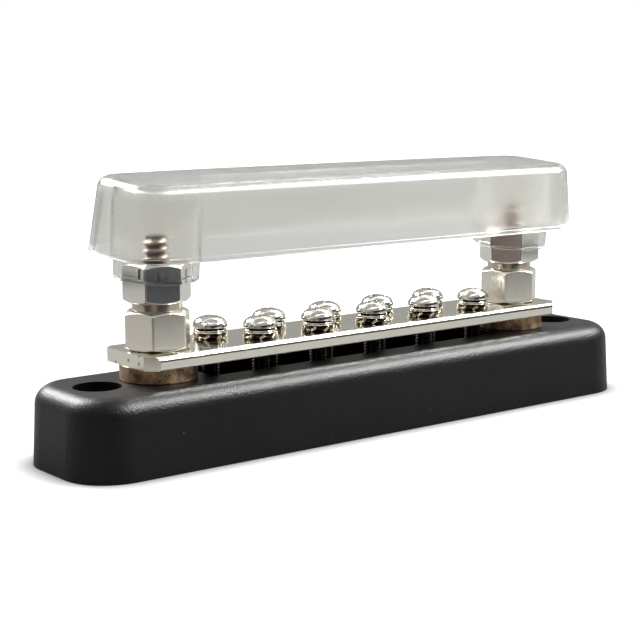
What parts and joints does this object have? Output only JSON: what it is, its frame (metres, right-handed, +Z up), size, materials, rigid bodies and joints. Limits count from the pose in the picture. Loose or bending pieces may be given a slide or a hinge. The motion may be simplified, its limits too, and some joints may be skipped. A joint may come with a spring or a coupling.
{
  "type": "bus bar with cover",
  "caption": "Bus bar on a black moulded base: plated bar with two staggered rows of terminal screws, a power stud at each end, and a clear push-on cover.",
  "frame": {"origin": "middle of the base's underside, half way between the two studs", "axes": "+X along the bar, +Y across it to the back row of screws, +Z up along the studs"},
  "size_m": [0.1578, 0.0326, 0.0596],
  "materials": {
    "black_plastic": "satin moulded black",
    "plated_bar": "bright tin plate",
    "brass": "tarnished brass",
    "stud_steel": "plated thread",
    "plated_nut": "nickel plate",
    "spring_steel": "plated spring steel",
    "tooth_steel": "plated spring steel",
    "plated_washer": "nickel plate",
    "plated_screw": "nickel plate",
    "clear_plastic": "clear moulded polycarbonate"
  },
  "bodies": {
    "frame": {"base": "black_plastic", "busbar": "plated_bar", "spacer_left": "brass", "spacer_right": "brass", "stud_left": "stud_steel", "stud_right": "stud_steel", "clamp_nut_left": "plated_nut", "clamp_nut_right": "plated_nut"},
    "cover": {"cover": "clear_plastic"},
    "lock_washer_left": {"lock_washer_left": "spring_steel"},
    "terminal_nut_left": {"terminal_nut_left": "plated_nut"},
    "lock_washer_right": {"lock_washer_right": "spring_steel"},
    "terminal_nut_right": {"terminal_nut_right": "plated_nut"},
    "washers_back_1": {"tooth_washer_back_1": "tooth_steel", "ring_washer_back_1": "plated_washer"},
    "screw_back_1": {"terminal_screw_back_1": "plated_screw"},
    "washers_back_2": {"tooth_washer_back_2": "tooth_steel", "ring_washer_back_2": "plated_washer"},
    "screw_back_2": {"terminal_screw_back_2": "plated_screw"},
    "washers_back_3": {"tooth_washer_back_3": "tooth_steel", "ring_washer_back_3": "plated_washer"},
    "screw_back_3": {"terminal_screw_back_3": "plated_screw"},
    "washers_back_4": {"tooth_washer_back_4": "tooth_steel", "ring_washer_back_4": "plated_washer"},
    "screw_back_4": {"terminal_screw_back_4": "plated_screw"},
    "washers_back_5": {"tooth_washer_back_5": "tooth_steel", "ring_washer_back_5": "plated_washer"},
    "screw_back_5": {"terminal_screw_back_5": "plated_screw"},
    "washers_front_1": {"tooth_washer_front_1": "tooth_steel", "ring_washer_front_1": "plated_washer"},
    "screw_front_1": {"terminal_screw_front_1": "plated_screw"},
    "washers_front_2": {"tooth_washer_front_2": "tooth_steel", "ring_washer_front_2": "plated_washer"},
    "screw_front_2": {"terminal_screw_front_2": "plated_screw"},
    "washers_front_3": {"tooth_washer_front_3": "tooth_steel", "ring_washer_front_3": "plated_washer"},
    "screw_front_3": {"terminal_screw_front_3": "plated_screw"},
    "washers_front_4": {"tooth_washer_front_4": "tooth_steel", "ring_washer_front_4": "plated_washer"},
    "screw_front_4": {"terminal_screw_front_4": "plated_screw"},
    "washers_front_5": {"tooth_washer_front_5": "tooth_steel", "ring_washer_front_5": "plated_washer"},
    "screw_front_5": {"terminal_screw_front_5": "plated_screw"}
  },
  "joints": [
    {"name": "cover_lift", "type": "slide", "parent": "frame", "child": "cover", "axis": [0, 0, 1], "range_m": [0, 0.035]},
    {"name": "nut_rise_left", "type": "slide", "parent": "frame", "child": "lock_washer_left", "axis": [0, 0, 1], "range_m": [0, 0.01]},
    {"name": "nut_turn_left", "type": "hinge", "parent": "lock_washer_left", "child": "terminal_nut_left", "pos_m": [-0.05245, 0, 0.0381], "axis": [0, 0, 1], "range_deg": [0, 3600]},
    {"name": "nut_rise_right", "type": "slide", "parent": "frame", "child": "lock_washer_right", "axis": [0, 0, 1], "range_m": [0, 0.01]},
    {"name": "nut_turn_right", "type": "hinge", "parent": "lock_washer_right", "child": "terminal_nut_right", "pos_m": [0.05245, 0, 0.0381], "axis": [0, 0, 1], "range_deg": [0, 3600]},
    {"name": "screw_rise_back_1", "type": "slide", "parent": "frame", "child": "washers_back_1", "axis": [0, 0, 1], "range_m": [0, 0.0056]},
    {"name": "screw_turn_back_1", "type": "hinge", "parent": "washers_back_1", "child": "screw_back_1", "pos_m": [-0.0367, 0.0035, 0.0257], "axis": [0, 0, 1], "range_deg": [0, 2880]},
    {"name": "screw_rise_back_2", "type": "slide", "parent": "frame", "child": "washers_back_2", "axis": [0, 0, 1], "range_m": [0, 0.0056]},
    {"name": "screw_turn_back_2", "type": "hinge", "parent": "washers_back_2", "child": "screw_back_2", "pos_m": [-0.02055, 0.0035, 0.0257], "axis": [0, 0, 1], "range_deg": [0, 2880]},
    {"name": "screw_rise_back_3", "type": "slide", "parent": "frame", "child": "washers_back_3", "axis": [0, 0, 1], "range_m": [0, 0.0056]},
    {"name": "screw_turn_back_3", "type": "hinge", "parent": "washers_back_3", "child": "screw_back_3", "pos_m": [-0.0044, 0.0035, 0.0257], "axis": [0, 0, 1], "range_deg": [0, 2880]},
    {"name": "screw_rise_back_4", "type": "slide", "parent": "frame", "child": "washers_back_4", "axis": [0, 0, 1], "range_m": [0, 0.0056]},
    {"name": "screw_turn_back_4", "type": "hinge", "parent": "washers_back_4", "child": "screw_back_4", "pos_m": [0.01175, 0.0035, 0.0257], "axis": [0, 0, 1], "range_deg": [0, 2880]},
    {"name": "screw_rise_back_5", "type": "slide", "parent": "frame", "child": "washers_back_5", "axis": [0, 0, 1], "range_m": [0, 0.0056]},
    {"name": "screw_turn_back_5", "type": "hinge", "parent": "washers_back_5", "child": "screw_back_5", "pos_m": [0.0279, 0.0035, 0.0257], "axis": [0, 0, 1], "range_deg": [0, 2880]},
    {"name": "screw_rise_front_1", "type": "slide", "parent": "frame", "child": "washers_front_1", "axis": [0, 0, 1], "range_m": [0, 0.0056]},
    {"name": "screw_turn_front_1", "type": "hinge", "parent": "washers_front_1", "child": "screw_front_1", "pos_m": [-0.0279, -0.0035, 0.0257], "axis": [0, 0, 1], "range_deg": [0, 2880]},
    {"name": "screw_rise_front_2", "type": "slide", "parent": "frame", "child": "washers_front_2", "axis": [0, 0, 1], "range_m": [0, 0.0056]},
    {"name": "screw_turn_front_2", "type": "hinge", "parent": "washers_front_2", "child": "screw_front_2", "pos_m": [-0.01175, -0.0035, 0.0257], "axis": [0, 0, 1], "range_deg": [0, 2880]},
    {"name": "screw_rise_front_3", "type": "slide", "parent": "frame", "child": "washers_front_3", "axis": [0, 0, 1], "range_m": [0, 0.0056]},
    {"name": "screw_turn_front_3", "type": "hinge", "parent": "washers_front_3", "child": "screw_front_3", "pos_m": [0.0044, -0.0035, 0.0257], "axis": [0, 0, 1], "range_deg": [0, 2880]},
    {"name": "screw_rise_front_4", "type": "slide", "parent": "frame", "child": "washers_front_4", "axis": [0, 0, 1], "range_m": [0, 0.0056]},
    {"name": "screw_turn_front_4", "type": "hinge", "parent": "washers_front_4", "child": "screw_front_4", "pos_m": [0.02055, -0.0035, 0.0257], "axis": [0, 0, 1], "range_deg": [0, 2880]},
    {"name": "screw_rise_front_5", "type": "slide", "parent": "frame", "child": "washers_front_5", "axis": [0, 0, 1], "range_m": [0, 0.0056]},
    {"name": "screw_turn_front_5", "type": "hinge", "parent": "washers_front_5", "child": "screw_front_5", "pos_m": [0.0367, -0.0035, 0.0257], "axis": [0, 0, 1], "range_deg": [0, 2880]}
  ],
  "couplings": [
    {"joint": "nut_turn_left", "follows": "nut_rise_left", "rad_per_m": 6283.2},
    {"joint": "nut_turn_right", "follows": "nut_rise_right", "rad_per_m": 6283.2},
    {"joint": "screw_turn_back_1", "follows": "screw_rise_back_1", "rad_per_m": 8976},
    {"joint": "screw_turn_back_2", "follows": "screw_rise_back_2", "rad_per_m": 8976},
    {"joint": "screw_turn_back_3", "follows": "screw_rise_back_3", "rad_per_m": 8976},
    {"joint": "screw_turn_back_4", "follows": "screw_rise_back_4", "rad_per_m": 8976},
    {"joint": "screw_turn_back_5", "follows": "screw_rise_back_5", "rad_per_m": 8976},
    {"joint": "screw_turn_front_1", "follows": "screw_rise_front_1", "rad_per_m": 8976},
    {"joint": "screw_turn_front_2", "follows": "screw_rise_front_2", "rad_per_m": 8976},
    {"joint": "screw_turn_front_3", "follows": "screw_rise_front_3", "rad_per_m": 8976},
    {"joint": "screw_turn_front_4", "follows": "screw_rise_front_4", "rad_per_m": 8976},
    {"joint": "screw_turn_front_5", "follows": "screw_rise_front_5", "rad_per_m": 8976}
  ]
}
